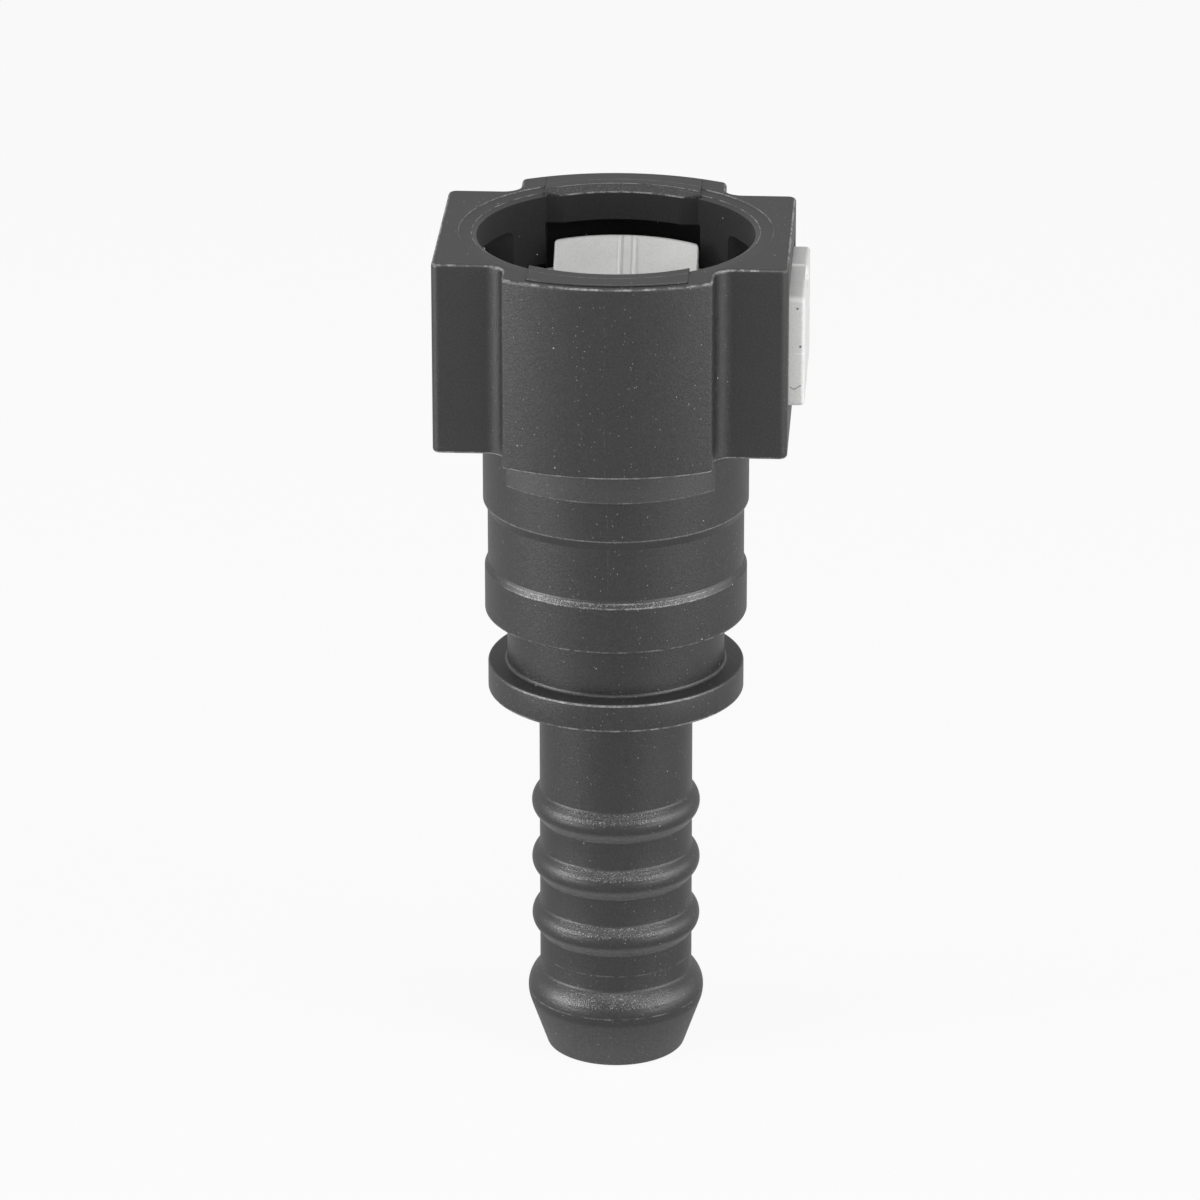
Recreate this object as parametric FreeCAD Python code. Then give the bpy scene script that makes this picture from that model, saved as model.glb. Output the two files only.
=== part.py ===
# Straight quick connector that joins a 9.49 mm fuel pipe to a plastic fuel line.
# Sizes are in millimetres. The origin is on the bore's axis at the tip of the hose stem,
# +Z runs up to the mouth and +X points at the release button.
import FreeCAD, Part
import math
import os

# Pipe that plugs into the mouth: plain end and formed bead
PIPE_RADIUS = 4.745
BEAD_RADIUS = 6.30
BEAD_ROOM = 2.70
BEAD_CLEARANCE = 0.25

# Hose stem: bore, conical nose with a rounded crest, round ribs
STEM_LENGTH = 22.25
STEM_RADIUS = 4.39
STEM_BORE = 3.10
NOSE_CREST_RADIUS = 5.08
NOSE_CREST_HEIGHT = 3.50
NOSE_HALF_ANGLE = 19.6
NOSE_CREST_ROUND = 2.00
NOSE_SHOULDER_ROUND = 1.65
RIB_COUNT = 3
FIRST_RIB_HEIGHT = 8.07
RIB_PITCH = 3.54
RIB_CREST_RADIUS = 4.84
RIB_ROUND = 1.00
RIB_HALF_ARC = 36.0

# Collar and neck, which the assembly fork holds
COLLAR_RADIUS = 7.30
COLLAR_THICKNESS = 1.70
NECK_RADIUS = 6.20
NECK_LENGTH = 3.12

# Barrel: lower band, waist and upper band
LOWER_BAND_RADIUS = 7.46
LOWER_BAND_LENGTH = 2.70
LOWER_BAND_CHAMFER = 0.43
WAIST_RADIUS = 7.28
WAIST_LENGTH = 3.10
SHOULDER_LENGTH = 0.50
UPPER_BAND_RADIUS = 7.54
UPPER_BAND_LENGTH = 4.77
PAD_RADIUS = 8.00
PAD_HEIGHT = 2.32

# Head: flat ears left and right, bowed bulges front and back
HEAD_HEIGHT = 11.10
EARS_HALF_WIDTH = 9.87
EARS_HALF_DEPTH = 6.625
EARS_CORNER_ROUND = 0.45
BULGE_HALF_WIDTH = 5.83
BULGE_REACH = 10.40
BULGE_BOW_RADIUS = 12.00
BULGE_CORNER_ROUND = 0.35
BULGE_ROOT_ROUND = 1.00
HEAD_EDGE_BEVEL = 0.15
BULGE_WALL = 1.00

# Mouth: round opening with a two-step chamfer, and a raised lip front and back
CHAMBER_RADIUS = 7.80
MOUTH_CHAMFER_DEPTH = 0.24
MOUTH_STEP_RADIUS = 8.09
MOUTH_STEP_DEPTH = 0.08
MOUTH_RIM_RADIUS = 8.83
LIP_SIDE_MARGIN = 1.41
LIP_INNER_RADIUS = 7.30
LIP_INNER_FLAT = 6.50
LIP_BEVEL_RADIUS = 8.08
LIP_BEVEL_DEPTH = 0.30
LIP_MARGIN = 0.50
LIP_RISE = 0.10

# Latch chamber: floor, windows to the sides, pockets front and back, channel for the legs
FLOOR_THICKNESS = 1.73
SILL_HEIGHT = 0.50
ROOF_THICKNESS = 1.80
WINDOW_HALF_WIDTH = 4.90
WINDOW_CORNER_ROUND = 0.40
CHANNEL_RADIUS = 8.25

# Push button retainer: button, yoke, two bowed legs with latches, two feet
BUTTON_HALF_WIDTH = 4.60
BUTTON_PROTRUSION = 0.88
BUTTON_TRAVEL = 0.85
BUTTON_PLATE = 2.05
BUTTON_EDGE_ROUND = 0.22
BUTTON_NOTCH_HALF_WIDTH = 1.26
BUTTON_NOTCH_HEIGHT = 0.87
BUTTON_NOTCH_DEPTH = 0.15
RETAINER_SIDE_GAP = 0.15
RETAINER_BOTTOM_GAP = 0.20
RETAINER_TOP_GAP = 0.46
LEG_HEIGHT = 4.20
LEG_THICKNESS = 0.85
LATCH_SIDE_GAP = 0.32
LATCH_SHIFT = 0.28
LATCH_BORE = 5.00
LATCH_NOSE_HEIGHT = 1.70
LATCH_RAMP_HEIGHT = 2.30
LATCH_TOP_RADIUS = 6.90
LATCH_TOP_FLAT = 0.20
LATCH_BACK_GAP = 0.25
LATCH_BACK_BEVEL = 0.45
RIDGE_SPACING = 0.87
RIDGE_WIDTH = 0.20
RIDGE_RISE = 0.10
FOOT_REACH = 8.90
FOOT_INNER_SIDE = 2.10
FOOT_OUTER_SIDE = 4.40
FOOT_LUG_START = 7.65
FOOT_LUG_DROP = 0.35

# Seal stack under the chamber, from the top: bushing, O-ring, spacer, O-ring
SEAL_BORE = 6.40
SEAL_SECTION = 2.00
SEAL_CORNER_BEVEL = 0.42
SEAL_SIDE_GAP = 0.05
SEAL_END_GAP = 0.05
BUSHING_LENGTH = 2.60
BUSHING_RUNNING_GAP = 0.055
BUSHING_FUNNEL_RADIUS = 5.60
BUSHING_FUNNEL_DEPTH = 0.80
SPACER_THICKNESS = 1.00
SPACER_PIPE_GAP = 0.20

# Pilot bore for the pipe's end, above the collar
PILOT_GAP = 0.105
PILOT_FLOOR_HEIGHT = 1.00

# Widths that follow the bulge's width
LIP_HALF_WIDTH = BULGE_HALF_WIDTH - LIP_SIDE_MARGIN
LATCH_HALF_WIDTH = LIP_HALF_WIDTH - LATCH_SIDE_GAP

# Heights of the outside, from the stem's tip up
COLLAR_Z = STEM_LENGTH
NECK_Z = COLLAR_Z + COLLAR_THICKNESS
LOWER_BAND_Z = NECK_Z + NECK_LENGTH
LOWER_CHAMFER_Z = LOWER_BAND_Z + LOWER_BAND_LENGTH
WAIST_Z = LOWER_CHAMFER_Z + LOWER_BAND_CHAMFER
SHOULDER_Z = WAIST_Z + WAIST_LENGTH
UPPER_BAND_Z = SHOULDER_Z + SHOULDER_LENGTH
HEAD_Z = UPPER_BAND_Z + UPPER_BAND_LENGTH
MOUTH_Z = HEAD_Z + HEAD_HEIGHT

# Heights of the inside
FLOOR_Z = HEAD_Z + FLOOR_THICKNESS
SILL_Z = FLOOR_Z + SILL_HEIGHT
ROOF_Z = MOUTH_Z - ROOF_THICKNESS
BUSHING_Z = FLOOR_Z - BUSHING_LENGTH
OUTER_SEAL_Z = BUSHING_Z - SEAL_END_GAP - SEAL_SECTION / 2
SPACER_TOP_Z = OUTER_SEAL_Z - SEAL_SECTION / 2 - SEAL_END_GAP
SPACER_Z = SPACER_TOP_Z - SPACER_THICKNESS
INNER_SEAL_Z = SPACER_Z - SEAL_END_GAP - SEAL_SECTION / 2
SEAL_FLOOR_Z = INNER_SEAL_Z - SEAL_SECTION / 2 - SEAL_END_GAP
PILOT_Z = NECK_Z + PILOT_FLOOR_HEIGHT
PILOT_BORE = PIPE_RADIUS + PILOT_GAP

# Heights of the retainer
RETAINER_Z = SILL_Z + RETAINER_BOTTOM_GAP
LEG_TOP_Z = RETAINER_Z + LEG_HEIGHT
RETAINER_TOP_Z = ROOF_Z - RETAINER_TOP_GAP
LATCH_Z = FLOOR_Z + BEAD_ROOM
LATCH_NOSE_Z = LATCH_Z + LATCH_NOSE_HEIGHT
LATCH_TOP_Z = LATCH_NOSE_Z + LATCH_RAMP_HEIGHT
CHANNEL_TOP_Z = LEG_TOP_Z + RETAINER_SIDE_GAP

# Length by which a cutting tool runs past the face that it cuts
OVERRUN = 1.0

# Widest angle of one flat where a small round of the turned outline is drawn with flats
FLAT_ANGLE = 24.0


def at(radius, height):
    """Point of the plane in which the turned outlines are drawn."""
    return FreeCAD.Vector(radius, 0, height)


def line(start, end):
    return Part.LineSegment(start, end).toShape()


def flats(centre, radius, start_angle, end_angle):
    """Points on an arc in the outline plane. Angle 0 points away from the axis and 90 points up."""
    count = math.ceil((end_angle - start_angle) / FLAT_ANGLE)
    points = []
    for index in range(count + 1):
        turn = math.radians(start_angle + (end_angle - start_angle) * index / count)
        points.append(centre + at(radius * math.cos(turn), radius * math.sin(turn)))
    return points


def turned(points):
    """Solid of revolution about Z of the closed outline through the given points."""
    outline = Part.makePolygon(points + points[:1])
    return Part.Face(outline).revolve(FreeCAD.Vector(), FreeCAD.Vector(0, 0, 1), 360)


def block(low, high):
    """Box between two corners, each (x, y, z)."""
    size = [b - a for a, b in zip(low, high)]
    return Part.makeBox(*size, FreeCAD.Vector(*low))


def column(radius, bottom, top, x=0.0, y=0.0):
    """Upright cylinder about the point (x, y)."""
    return Part.makeCylinder(radius, top - bottom, FreeCAD.Vector(x, y, bottom))


def front_and_back(shape):
    """A shape on the +Y side together with its mirror image on the -Y side."""
    return shape.fuse(shape.mirror(FreeCAD.Vector(), FreeCAD.Vector(0, 1, 0)))


def upright_edges(shape, x, y):
    """Straight upright edges at the distances x and y from the planes of symmetry."""
    found = []
    for edge in shape.Edges:
        ends = [vertex.Point for vertex in edge.Vertexes]
        if len(ends) != 2 or abs(ends[0].z - ends[1].z) < 1e-6:
            continue
        if all(math.hypot(abs(p.x) - x, abs(p.y) - y) < 1e-4 for p in ends):
            found.append(edge)
    return found


def level_edges(shape, height):
    """Edges that lie wholly at one height."""
    return [e for e in shape.Edges if abs(e.BoundBox.ZMin - height) + abs(e.BoundBox.ZMax - height) < 1e-4]


def bow_half_depth(x, inset):
    """Distance from the XZ plane to the bulge's bowed face, moved in by an inset, at x."""
    centre = BULGE_REACH - BULGE_BOW_RADIUS
    return centre + math.sqrt((BULGE_BOW_RADIUS - inset) ** 2 - x ** 2)


def bowed_column(half_width, inset, bottom, top):
    """Column between the bulges' two bowed faces, moved in by an inset, and two flat sides."""
    side = bow_half_depth(half_width, inset)
    crest = BULGE_REACH - inset
    corners = []
    for x, y in ((-half_width, side), (half_width, side), (half_width, -side), (-half_width, -side)):
        corners.append(FreeCAD.Vector(x, y, bottom))
    back = Part.Arc(corners[0], FreeCAD.Vector(0, crest, bottom), corners[1]).toShape()
    front = Part.Arc(corners[2], FreeCAD.Vector(0, -crest, bottom), corners[3]).toShape()
    outline = Part.Wire([back, line(corners[1], corners[2]), front, line(corners[3], corners[0])])
    return Part.Face(outline).extrude(FreeCAD.Vector(0, 0, top - bottom))


def nose_outline():
    """Conical nose, its rounded crest and the shoulder down to the stem."""
    tilt = math.radians(NOSE_HALF_ANGLE)
    crest_centre = at(NOSE_CREST_RADIUS - NOSE_CREST_ROUND, NOSE_CREST_HEIGHT)
    crest = flats(crest_centre, NOSE_CREST_ROUND, -NOSE_HALF_ANGLE, 0)
    tip_radius = crest[0].x - crest[0].z * math.tan(tilt)
    shoulder_centre = at(NOSE_CREST_RADIUS - NOSE_SHOULDER_ROUND, NOSE_CREST_HEIGHT)
    shoulder_end = math.degrees(math.acos((STEM_RADIUS - shoulder_centre.x) / NOSE_SHOULDER_ROUND))
    shoulder = flats(shoulder_centre, NOSE_SHOULDER_ROUND, 0, shoulder_end)
    return [at(tip_radius, 0)] + crest + shoulder[1:]


def rib_outline(height):
    """Rib on the stem with a round crest and tangent flanks."""
    lean = math.radians(RIB_HALF_ARC)
    crest = flats(at(RIB_CREST_RADIUS - RIB_ROUND, height), RIB_ROUND, -RIB_HALF_ARC, RIB_HALF_ARC)
    foot = RIB_ROUND * math.sin(lean) + (crest[0].x - STEM_RADIUS) / math.tan(lean)
    return [at(STEM_RADIUS, height - foot)] + crest + [at(STEM_RADIUS, height + foot)]


def turned_outside():
    """Stem, collar, neck and barrel as one solid of revolution."""
    points = [at(0, 0)] + nose_outline()
    for index in range(RIB_COUNT):
        points.extend(rib_outline(FIRST_RIB_HEIGHT + index * RIB_PITCH))
    points.extend([
        at(STEM_RADIUS, COLLAR_Z),
        at(COLLAR_RADIUS, COLLAR_Z),
        at(COLLAR_RADIUS, NECK_Z),
        at(NECK_RADIUS, NECK_Z),
        at(NECK_RADIUS, LOWER_BAND_Z),
        at(LOWER_BAND_RADIUS, LOWER_BAND_Z),
        at(LOWER_BAND_RADIUS, LOWER_CHAMFER_Z),
        at(WAIST_RADIUS, WAIST_Z),
        at(WAIST_RADIUS, SHOULDER_Z),
        at(UPPER_BAND_RADIUS, UPPER_BAND_Z),
        at(UPPER_BAND_RADIUS, HEAD_Z + OVERRUN),
        at(0, HEAD_Z + OVERRUN),
    ])
    return turned(points)


def head_outside():
    """Ears and bulges with rounded corners, hollow roots between them and bevelled rims."""
    ears = block((-EARS_HALF_WIDTH, -EARS_HALF_DEPTH, HEAD_Z), (EARS_HALF_WIDTH, EARS_HALF_DEPTH, MOUTH_Z))
    ears = ears.makeFillet(EARS_CORNER_ROUND, upright_edges(ears, EARS_HALF_WIDTH, EARS_HALF_DEPTH))
    bulges = bowed_column(BULGE_HALF_WIDTH, 0, HEAD_Z, MOUTH_Z)
    corner = bow_half_depth(BULGE_HALF_WIDTH, 0)
    bulges = bulges.makeFillet(BULGE_CORNER_ROUND, upright_edges(bulges, BULGE_HALF_WIDTH, corner))
    head = ears.fuse(bulges).removeSplitter()
    head = head.makeFillet(BULGE_ROOT_ROUND, upright_edges(head, BULGE_HALF_WIDTH, EARS_HALF_DEPTH))
    rims = level_edges(head, HEAD_Z) + level_edges(head, MOUTH_Z)
    return head.makeChamfer(HEAD_EDGE_BEVEL, rims)


def barrel_pads():
    """Arched pads on the barrel under the two bulges."""
    low = HEAD_Z - PAD_HEIGHT
    pads = column(PAD_RADIUS, low, HEAD_Z + OVERRUN)
    return pads.common(block((-BULGE_HALF_WIDTH, -PAD_RADIUS, low), (BULGE_HALF_WIDTH, PAD_RADIUS, HEAD_Z + OVERRUN)))


def inside():
    """Everything that is bored out of the body: flow bore, pilot, seal bore, chamber and mouth."""
    return turned([
        at(0, -OVERRUN),
        at(STEM_BORE, -OVERRUN),
        at(STEM_BORE, PILOT_Z),
        at(PILOT_BORE, PILOT_Z),
        at(PILOT_BORE, SEAL_FLOOR_Z),
        at(SEAL_BORE, SEAL_FLOOR_Z),
        at(SEAL_BORE, FLOOR_Z),
        at(CHAMBER_RADIUS, FLOOR_Z),
        at(CHAMBER_RADIUS, SILL_Z),
        at(CHANNEL_RADIUS, SILL_Z),
        at(CHANNEL_RADIUS, CHANNEL_TOP_Z),
        at(CHAMBER_RADIUS, CHANNEL_TOP_Z),
        at(CHAMBER_RADIUS, MOUTH_Z - MOUTH_CHAMFER_DEPTH),
        at(MOUTH_STEP_RADIUS, MOUTH_Z - MOUTH_STEP_DEPTH),
        at(MOUTH_RIM_RADIUS, MOUTH_Z),
        at(MOUTH_RIM_RADIUS, MOUTH_Z + OVERRUN),
        at(0, MOUTH_Z + OVERRUN),
    ])


def mouth_lips():
    """Raised lips front and back that roof the pockets and narrow the mouth."""
    top = MOUTH_Z + LIP_RISE
    lip = bowed_column(LIP_HALF_WIDTH, LIP_MARGIN, ROOF_Z, top)
    lip = lip.common(block((-LIP_HALF_WIDTH, LIP_INNER_FLAT, ROOF_Z), (LIP_HALF_WIDTH, BULGE_REACH, top)))
    lip = lip.cut(column(LIP_INNER_RADIUS, ROOF_Z - OVERRUN, top + OVERRUN))
    bevel = turned([
        at(0, top - LIP_BEVEL_DEPTH),
        at(LIP_INNER_RADIUS, top - LIP_BEVEL_DEPTH),
        at(LIP_BEVEL_RADIUS, top),
        at(LIP_BEVEL_RADIUS, top + OVERRUN),
        at(0, top + OVERRUN),
    ])
    return front_and_back(lip.cut(bevel))


def latch_pockets():
    """Room behind the latches, front and back, for the legs to spread into."""
    return bowed_column(LIP_HALF_WIDTH, BULGE_WALL, SILL_Z, ROOF_Z)


def side_windows():
    """Windows through both side walls, for the button and for the feet."""
    reach = EARS_HALF_WIDTH + OVERRUN
    low = (-reach, -WINDOW_HALF_WIDTH, SILL_Z)
    high = (reach, WINDOW_HALF_WIDTH, ROOF_Z)
    windows = block(low, high)
    corners = []
    for edge in windows.Edges:
        box = edge.BoundBox
        if box.XLength > reach and box.YLength + box.ZLength < 1e-6:
            corners.append(edge)
    return windows.makeFillet(WINDOW_CORNER_ROUND, corners)


def connector_body():
    body = turned_outside().fuse([head_outside(), barrel_pads()]).removeSplitter()
    body = body.cut(inside())
    body = body.fuse(mouth_lips()).removeSplitter()
    body = body.cut(latch_pockets())
    return body.cut(side_windows())


def sliding_lens(radius, bottom, top):
    """Space inside a round hole that a piece can fill and still slide by the button's travel."""
    return column(radius, bottom, top).common(column(radius, bottom, top, x=BUTTON_TRAVEL))


def retainer_legs():
    """Two thin legs bowed around the pipe, open at the button's side and between the feet."""
    outer = CHANNEL_RADIUS - RETAINER_SIDE_GAP
    legs = sliding_lens(outer, RETAINER_Z, LEG_TOP_Z)
    legs = legs.cut(sliding_lens(outer - LEG_THICKNESS, RETAINER_Z, LEG_TOP_Z))
    gap = block((-outer, -FOOT_INNER_SIDE, RETAINER_Z), (0, FOOT_INNER_SIDE, LEG_TOP_Z))
    return legs.cut(gap)


def retainer_button():
    """Button plate outside the window and the yoke that joins it to the legs."""
    face = EARS_HALF_WIDTH + BUTTON_PROTRUSION
    side = BUTTON_HALF_WIDTH
    plate = block((face - BUTTON_PLATE, -side, RETAINER_Z), (face, side, RETAINER_TOP_Z))
    rim = []
    for edge in plate.Edges:
        if edge.BoundBox.XMin > face - 1e-4:
            rim.append(edge)
    plate = plate.makeFillet(BUTTON_EDGE_ROUND, rim)
    notch_z = RETAINER_TOP_Z - BUTTON_NOTCH_HEIGHT
    notch = block(
        (face - BUTTON_NOTCH_DEPTH, -BUTTON_NOTCH_HALF_WIDTH, notch_z),
        (face + OVERRUN, BUTTON_NOTCH_HALF_WIDTH, RETAINER_TOP_Z + OVERRUN),
    )
    yoke = block((0, -side, RETAINER_Z), (face - BUTTON_PLATE, side, LEG_TOP_Z))
    bead_room = column(BEAD_RADIUS + BEAD_CLEARANCE, RETAINER_Z, LEG_TOP_Z, x=BUTTON_TRAVEL)
    return plate.cut(notch).fuse(yoke.cut(bead_room))


def retainer_feet():
    """Feet that stand in the far window, each with a raised lug."""
    foot = block((-FOOT_REACH, FOOT_INNER_SIDE, RETAINER_Z), (0, FOOT_OUTER_SIDE, LEG_TOP_Z))
    foot = foot.cut(column(BEAD_RADIUS + BEAD_CLEARANCE, RETAINER_Z, LEG_TOP_Z))
    lug_top = RETAINER_TOP_Z - FOOT_LUG_DROP
    lug = block((-FOOT_REACH, FOOT_INNER_SIDE, RETAINER_Z), (-FOOT_LUG_START, FOOT_OUTER_SIDE, lug_top))
    return front_and_back(foot.fuse(lug))


def latch_profile(rise):
    """Section of a latch: catch under the nose, ramp for the bead, bevelled back."""
    back = CHAMBER_RADIUS - LATCH_BACK_GAP
    return [
        at(LATCH_BORE - rise, LATCH_Z),
        at(back, LATCH_Z),
        at(back, LATCH_TOP_Z - LATCH_BACK_BEVEL),
        at(LATCH_TOP_RADIUS + LATCH_TOP_FLAT, LATCH_TOP_Z),
        at(LATCH_TOP_RADIUS - rise, LATCH_TOP_Z),
        at(LATCH_BORE - rise, LATCH_NOSE_Z),
    ]


def retainer_latches():
    """Latches front and back, set towards the button, with two fine ridges down the middle of each ramp."""
    back = CHAMBER_RADIUS - LATCH_BACK_GAP
    low = (LATCH_SHIFT - LATCH_HALF_WIDTH, 0, LATCH_Z)
    high = (LATCH_SHIFT + LATCH_HALF_WIDTH, back, LATCH_TOP_Z)
    latch = turned(latch_profile(0)).common(block(low, high))
    ridged = turned(latch_profile(RIDGE_RISE))
    for side in (-1, 1):
        middle = LATCH_SHIFT + side * RIDGE_SPACING / 2
        strip = block((middle - RIDGE_WIDTH / 2, 0, LATCH_Z), (middle + RIDGE_WIDTH / 2, back, LATCH_TOP_Z))
        latch = latch.fuse(ridged.common(strip))
    latch = latch.common(sliding_lens(back, LATCH_Z, LATCH_TOP_Z))
    return front_and_back(latch)


def push_button_retainer():
    pieces = [retainer_button(), retainer_feet(), retainer_latches()]
    return retainer_legs().fuse(pieces).removeSplitter()


def guide_bushing():
    """Ring that centres the pipe. It is pressed into the top of the seal bore and holds the seals."""
    bore = PIPE_RADIUS + BUSHING_RUNNING_GAP
    outside = SEAL_BORE - SEAL_SIDE_GAP
    return turned([
        at(bore, BUSHING_Z),
        at(outside, BUSHING_Z),
        at(outside, FLOOR_Z),
        at(BUSHING_FUNNEL_RADIUS, FLOOR_Z),
        at(bore, FLOOR_Z - BUSHING_FUNNEL_DEPTH),
    ])


def o_ring(height):
    """Seal ring that fills the seal bore. Its round section is drawn with eight flats."""
    half = SEAL_SECTION / 2
    low = half - SEAL_CORNER_BEVEL
    middle = SEAL_BORE - SEAL_SIDE_GAP - half
    section = [(half, -low), (half, low), (low, half), (-low, half)]
    section += [(-half, low), (-half, -low), (-low, -half), (low, -half)]
    return turned([at(middle + across, height + up) for across, up in section])


def spacer_ring():
    """Flat ring that keeps the two seals apart."""
    ring = column(SEAL_BORE - SEAL_SIDE_GAP, SPACER_Z, SPACER_TOP_Z)
    return ring.cut(column(PIPE_RADIUS + SPACER_PIPE_GAP, SPACER_Z - OVERRUN, SPACER_TOP_Z + OVERRUN))


def main():
    os.makedirs("parts", exist_ok=True)
    nodes = {
        "connector_body": connector_body(),
        "push_button_retainer": push_button_retainer(),
        "guide_bushing": guide_bushing(),
        "outer_o_ring": o_ring(OUTER_SEAL_Z),
        "spacer_ring": spacer_ring(),
        "inner_o_ring": o_ring(INNER_SEAL_Z),
    }
    for name, shape in nodes.items():
        shape.exportStep("parts/" + name + ".step")
        box = shape.BoundBox
        print(name, len(shape.Solids), shape.isValid(), round(shape.Volume, 2), box)


main()
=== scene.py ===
import math

import bmesh
import bpy
from mathutils import Matrix, Vector


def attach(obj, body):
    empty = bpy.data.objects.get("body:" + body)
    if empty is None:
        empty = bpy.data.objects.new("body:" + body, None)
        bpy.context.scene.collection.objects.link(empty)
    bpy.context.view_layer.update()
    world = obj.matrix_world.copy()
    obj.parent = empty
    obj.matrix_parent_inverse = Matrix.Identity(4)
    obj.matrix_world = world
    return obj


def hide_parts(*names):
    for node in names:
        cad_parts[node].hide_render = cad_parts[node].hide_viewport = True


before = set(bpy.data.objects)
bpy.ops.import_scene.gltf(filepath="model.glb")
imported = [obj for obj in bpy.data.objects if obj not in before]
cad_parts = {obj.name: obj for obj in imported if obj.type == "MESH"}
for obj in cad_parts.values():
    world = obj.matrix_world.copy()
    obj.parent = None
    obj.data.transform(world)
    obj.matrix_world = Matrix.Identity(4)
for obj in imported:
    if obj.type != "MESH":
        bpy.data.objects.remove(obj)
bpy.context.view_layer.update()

# Lengths in this script are millimetres of the part's frame. Meshes are written in metres.
MM = 0.001
TURN_SEGMENTS = 192
RING_SEGMENTS = 160
ROUND_STEP = math.radians(15)
BOW_STEPS = 24
# How far a cutter runs past the surface that it cuts
PAST = 1.0

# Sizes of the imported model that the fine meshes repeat, with the fine rounds that only this script draws
STEM_RADIUS = 4.39
STEM_BORE = 3.10
STEM_END_ROUND = 0.22
BORE_CHAMFER = 0.25
NOSE_CREST_RADIUS = 5.08
NOSE_CREST_Z = 3.50
NOSE_HALF_ANGLE = 19.6
NOSE_CREST_ROUND = 2.00
NOSE_SHOULDER_ROUND = 1.65
RIB_HEIGHTS = (8.07, 11.61, 15.15)
RIB_CREST_RADIUS = 4.84
RIB_ROUND = 1.00
RIB_ROOT_ROUND = 0.30
COLLAR_RADIUS = 7.30
COLLAR_Z = 22.25
COLLAR_RIM_ROUND = 0.13
NECK_RADIUS = 6.20
NECK_Z = 23.95
NECK_ROOT_ROUND = 0.20
LOWER_BAND_RADIUS = 7.46
LOWER_BAND_Z = 27.07
LOWER_CHAMFER_Z = 29.77
WAIST_RADIUS = 7.28
WAIST_Z = 30.20
SHOULDER_Z = 33.30
UPPER_BAND_RADIUS = 7.54
UPPER_BAND_Z = 33.80
HEAD_Z = 38.57
MOUTH_Z = 49.67
BARREL_OVERLAP = 0.60
PAD_RADIUS = 8.00
PAD_Z = 36.25
PAD_EDGE_ROUND = 0.08
PAD_OVERLAP = 0.80
EARS = (9.87, 6.625)
EARS_CORNER_ROUND = 0.45
BULGE_HALF_WIDTH = 5.83
BULGE_REACH = 10.40
BOW_RADIUS = 12.00
BOW_END = 0.60
BULGE_CORNER_ROUND = 0.35
BULGE_ROOT_ROUND = 1.00
HEAD_EDGE_ROUND = 0.20
BULGE_WALL = 1.00
POCKET_FRONT = 2.00
CHAMBER_RADIUS = 7.80
CHANNEL_RADIUS = 8.25
CHANNEL_TOP_Z = 45.35
FLOOR_Z = 40.30
SILL_Z = 40.80
ROOF_Z = 47.87
MOUTH_BEVEL_DEPTH = 0.24
MOUTH_RING_RADII = (8.09, 8.80)
MOUTH_RING_DEPTHS = (0.10, 0.06)
MOUTH_RING_STEP = 0.03
LIP_HALF_WIDTH = 4.42
LIP_INNER_RADIUS = 7.30
LIP_INNER_FLAT = 6.50
LIP_MARGIN = 0.50
LIP_TOP_Z = 49.77
LIP_BEVEL_RADIUS = 8.08
LIP_BEVEL_DEPTH = 0.30
LIP_EDGE_ROUND = 0.05
GROOVE_WIDTH = 0.12
GROOVE_DEPTH = 0.15
GROOVE_SIDE_GAP = 0.03
WINDOW_HALF_WIDTH = 4.90
WINDOW_START_X = 3.00
WINDOW_CORNER_ROUND = 0.40
WINDOW_EDGE_ROUND = 0.12
SEAL_BORE = 6.40
SEAL_FLOOR_Z = 32.50
PILOT_BORE = 4.85
PILOT_Z = 24.95

TRAVEL = 0.85
RETAINER_Z = 41.00
LEG_TOP_Z = 45.20
LEG_THICKNESS = 0.85
CHANNEL_GAP = 0.15
RETAINER_TOP_Z = 47.41
RETAINER_EDGE_ROUND = 0.06
BEAD_ROOM_RADIUS = 6.55
FOOT_REACH = 8.90
FOOT_SIDES = (2.10, 4.40)
FOOT_CORNER_ROUND = 0.08
LUG_FRONT = 7.65
LUG_TOP_Z = 47.06
LUG_ROUND = 0.12
BUTTON_FACE = 10.75
BUTTON_BACK = 8.70
BUTTON_OVERLAP = 0.30
BUTTON_HALF_WIDTH = 4.60
BUTTON_CORNER_ROUND = 0.35
BUTTON_EDGE_ROUND = 0.24
NOTCH_HALF_WIDTH = 1.26
NOTCH_HEIGHT = 0.87
NOTCH_DEPTH = 0.15
NOTCH_FLARE = 0.10
NOTCH_CORNER_ROUND = 0.12
RECESS_LENGTH = 1.25
RECESS_DEPTH = 0.10
RECESS_CORNER_ROUND = 0.10
LATCH_HALF_WIDTH = 4.10
LATCH_SHIFT = 0.28
LATCH_BACK = 7.55
LATCH_EDGE_ROUND = 0.18
LATCH_STATION = 0.35
RIDGE_SHIFT = 0.435
RIDGE_HALF_WIDTH = 0.10
RIDGE_EDGE_ROUND = 0.06

RING_RADIUS = 6.35
BUSHING_BORE = 4.80
BUSHING_Z = 37.70
BUSHING_LEAD_RADIUS = 5.60
BUSHING_LEAD_Z = 39.50
SPACER_BORE = 4.945
SPACER_Z = 34.60
SPACER_HEIGHT = 1.00
SPACER_ROUND = 0.12
SEAL_CENTRE_RADIUS = 5.35
SEAL_SECTION_RADIUS = 1.00
SEALS = (("seal_outer", 36.65, "outer_o_ring"), ("seal_inner", 33.55, "inner_o_ring"))


# Meshes

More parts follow.
